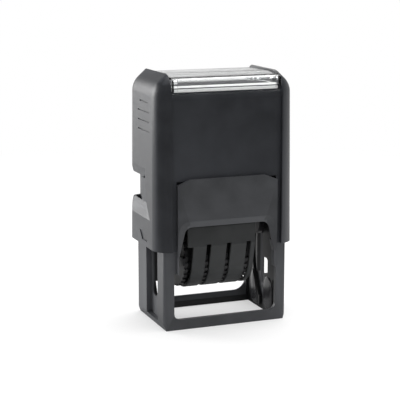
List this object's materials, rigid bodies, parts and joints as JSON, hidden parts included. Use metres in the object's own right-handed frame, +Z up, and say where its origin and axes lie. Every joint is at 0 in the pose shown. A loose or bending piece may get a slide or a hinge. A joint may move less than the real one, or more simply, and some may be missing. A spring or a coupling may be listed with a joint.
{
  "type": "self-inking date stamp",
  "caption": "Self-inking date stamp: a sprung cap slides down over the lower frame and turns the carriage with the text plate and date bands.",
  "frame": {"origin": "on the table under the middle of the base, with the stamp standing upright at rest", "axes": "+X to the right seen from the front shield, +Y to the back, +Z up along the stroke"},
  "size_m": [0.0566, 0.036, 0.0974],
  "materials": {
    "frame_plastic": "fine satin moulding texture",
    "cap_plastic": "fine satin moulding texture",
    "guard_plastic": "satin",
    "carriage_plastic": "satin",
    "tray_plastic": "satin",
    "wheel_plastic": "satin",
    "window_clear": "clear moulded plastic",
    "card_paper": "plain white card",
    "plate_rubber": "printing rubber",
    "band_rubber": "printing rubber",
    "pad_felt": "inked felt",
    "axle_steel": "drawn steel",
    "spring_steel": "drawn wire"
  },
  "bodies": {
    "frame": {"lower_frame": "frame_plastic", "ink_tray": "tray_plastic", "ink_pad": "pad_felt", "return_spring_left": "spring_steel", "return_spring_right": "spring_steel"},
    "cap": {"cap_shell": "cap_plastic", "index_card": "card_paper"},
    "window": {"index_window": "window_clear"},
    "carriage": {"carriage_frame": "carriage_plastic", "text_plate": "plate_rubber", "band_guard": "guard_plastic", "band_bridge": "carriage_plastic", "band_side_left": "carriage_plastic", "band_side_right": "carriage_plastic", "wheel_axle": "axle_steel", "date_band_1": "band_rubber", "date_band_2": "band_rubber", "date_band_3": "band_rubber", "date_band_4": "band_rubber"},
    "button_left": {"lock_button_left": "cap_plastic"},
    "button_right": {"lock_button_right": "cap_plastic"},
    "wheel_1": {"date_wheel_1": "wheel_plastic"},
    "wheel_2": {"date_wheel_2": "wheel_plastic"},
    "wheel_3": {"date_wheel_3": "wheel_plastic"},
    "wheel_4": {"date_wheel_4": "wheel_plastic"}
  },
  "joints": [
    {"name": "cap_slide", "type": "slide", "parent": "frame", "child": "cap", "axis": [0, 0, -1], "range_m": [0, 0.0242], "stiffness_N_per_m": 600, "springref_m": -0.0133, "deforming": ["return_spring_left", "return_spring_right"]},
    {"name": "carriage_flip", "type": "hinge", "parent": "cap", "child": "carriage", "pos_m": [0, 0, 0.037], "axis": [-1, 0, 0], "range_deg": [0, 180]},
    {"name": "window_lift", "type": "slide", "parent": "cap", "child": "window", "axis": [0, 0, 1], "range_m": [0, 0.012]},
    {"name": "button_left_press", "type": "slide", "parent": "cap", "child": "button_left", "axis": [1, 0, 0], "range_m": [0, 0.0012], "stiffness_N_per_m": 500, "springref_m": -0.001},
    {"name": "button_right_press", "type": "slide", "parent": "cap", "child": "button_right", "axis": [-1, 0, 0], "range_m": [0, 0.0012], "stiffness_N_per_m": 500, "springref_m": -0.001},
    {"name": "date_wheel_1_turn", "type": "hinge", "parent": "carriage", "child": "wheel_1", "pos_m": [-0.0147, 0, 0.0255], "axis": [1, 0, 0], "continuous": true},
    {"name": "date_wheel_2_turn", "type": "hinge", "parent": "carriage", "child": "wheel_2", "pos_m": [-0.00645, 0, 0.0255], "axis": [1, 0, 0], "continuous": true},
    {"name": "date_wheel_3_turn", "type": "hinge", "parent": "carriage", "child": "wheel_3", "pos_m": [0.0018, 0, 0.0255], "axis": [1, 0, 0], "continuous": true},
    {"name": "date_wheel_4_turn", "type": "hinge", "parent": "carriage", "child": "wheel_4", "pos_m": [0.01005, 0, 0.0255], "axis": [1, 0, 0], "continuous": true}
  ],
  "couplings": [
    {"joint": "carriage_flip", "follows": "cap_slide", "rad_per_m": 129.81}
  ]
}
